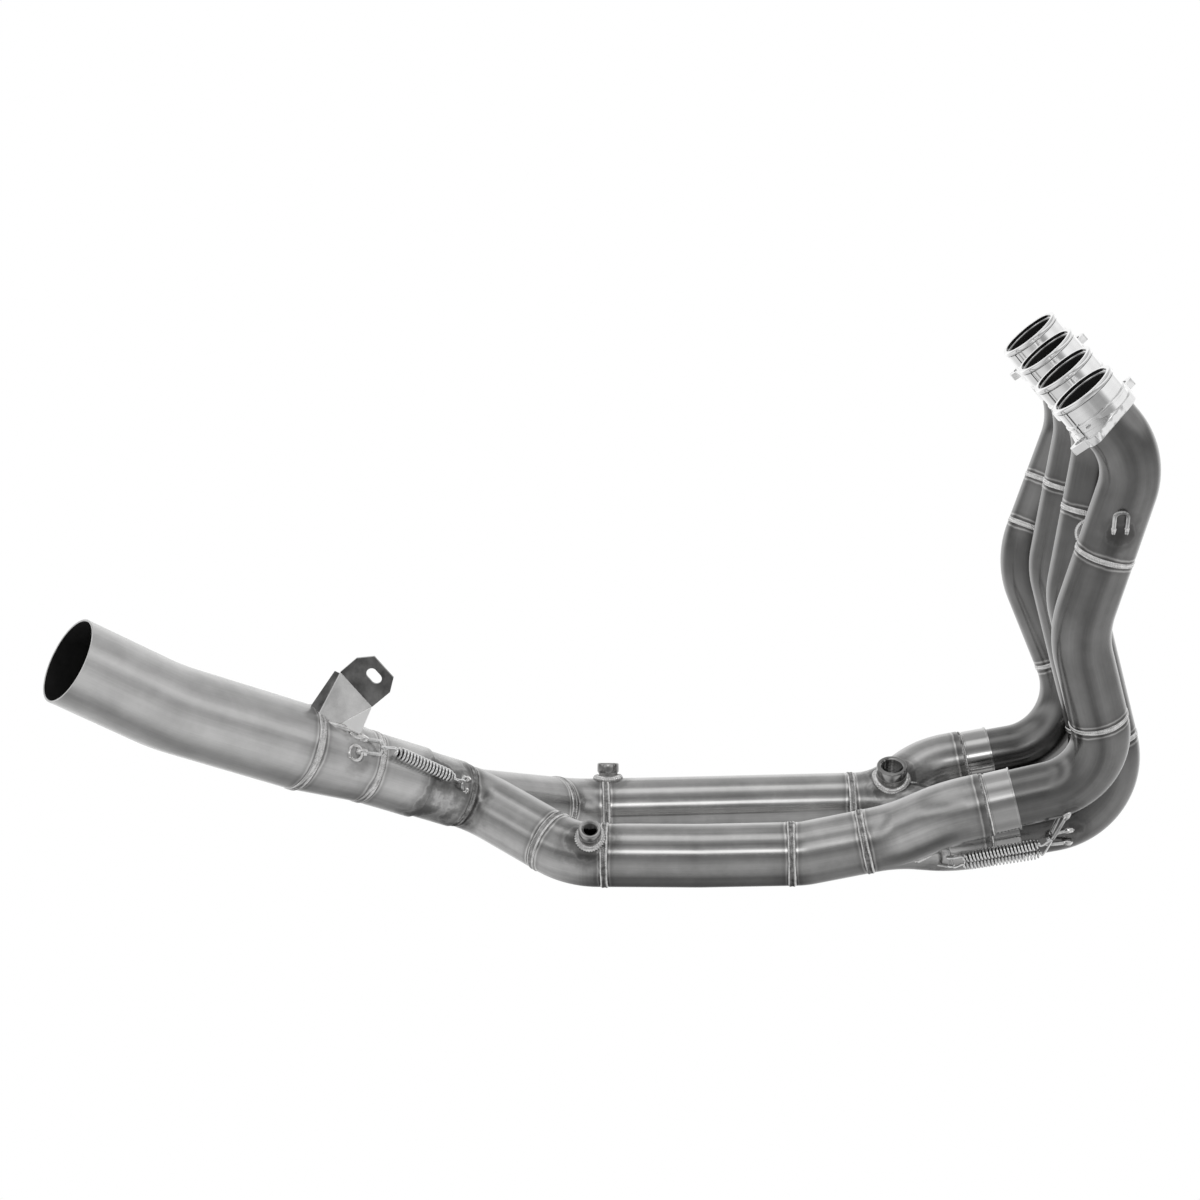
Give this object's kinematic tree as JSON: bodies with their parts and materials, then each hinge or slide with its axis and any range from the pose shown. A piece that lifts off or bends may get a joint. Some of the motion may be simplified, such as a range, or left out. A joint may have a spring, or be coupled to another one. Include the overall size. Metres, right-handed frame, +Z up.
{
  "type": "motorcycle exhaust header",
  "caption": "Stainless exhaust header for an inline four motorcycle: primaries, sprung collectors, secondaries and link pipe.",
  "frame": {"origin": "middle of the row of the four port openings, on the bike's centre plane", "axes": "+X to the front of the bike, +Y to its left side, +Z up; the ports face up and back along -X"},
  "size_m": [0.797, 0.3617, 0.4095],
  "materials": {
    "tube": "satin",
    "machined": "bright",
    "fitting": "satin",
    "weld": "rippled",
    "spring": "bright"
  },
  "bodies": {
    "root": {"balance_tube_left": "tube", "balance_tube_right": "tube", "bracket_ear": "fitting", "bracket_web": "fitting", "collet_keys": "machined", "far_collector": "tube", "far_collector_loop": "fitting", "far_elbow": "tube", "far_secondary": "tube", "hanger_loop": "fitting", "lambda_bung": "fitting", "link_cone": "tube", "link_loop": "fitting", "link_pipe": "tube", "link_spring": "spring", "link_weld_beads": "weld", "near_collector": "tube", "near_collector_loop": "fitting", "near_collector_neck": "tube", "near_elbow": "tube", "near_secondary": "tube", "outlet_loop": "fitting", "outlet_stub": "tube", "pipe_loops": "fitting", "port_collets": "machined", "port_flange_1": "machined", "port_flange_2": "machined", "port_flange_3": "machined", "port_flange_4": "machined", "port_rims": "machined", "primary_1_lower": "tube", "primary_1_middle": "tube", "primary_1_top": "tube", "primary_1_upper": "tube", "primary_2_lower": "tube", "primary_2_middle": "tube", "primary_2_upper": "tube", "primary_3_lower": "tube", "primary_3_middle": "tube", "primary_3_upper": "tube", "primary_4_lower": "tube", "primary_4_middle": "tube", "primary_4_upper": "tube", "primary_weld_beads": "weld", "probe_bung_far": "fitting", "probe_bung_near": "fitting", "rear_collector": "tube", "secondary_weld_beads": "weld", "slip_sleeve": "tube", "slip_socket_1": "tube", "slip_socket_2": "tube", "slip_socket_3": "tube", "slip_socket_4": "tube", "slip_spring_1": "spring", "slip_spring_2": "spring", "slip_spring_3": "spring", "slip_spring_4": "spring", "socket_weld_beads": "weld"}
  },
  "joints": []
}
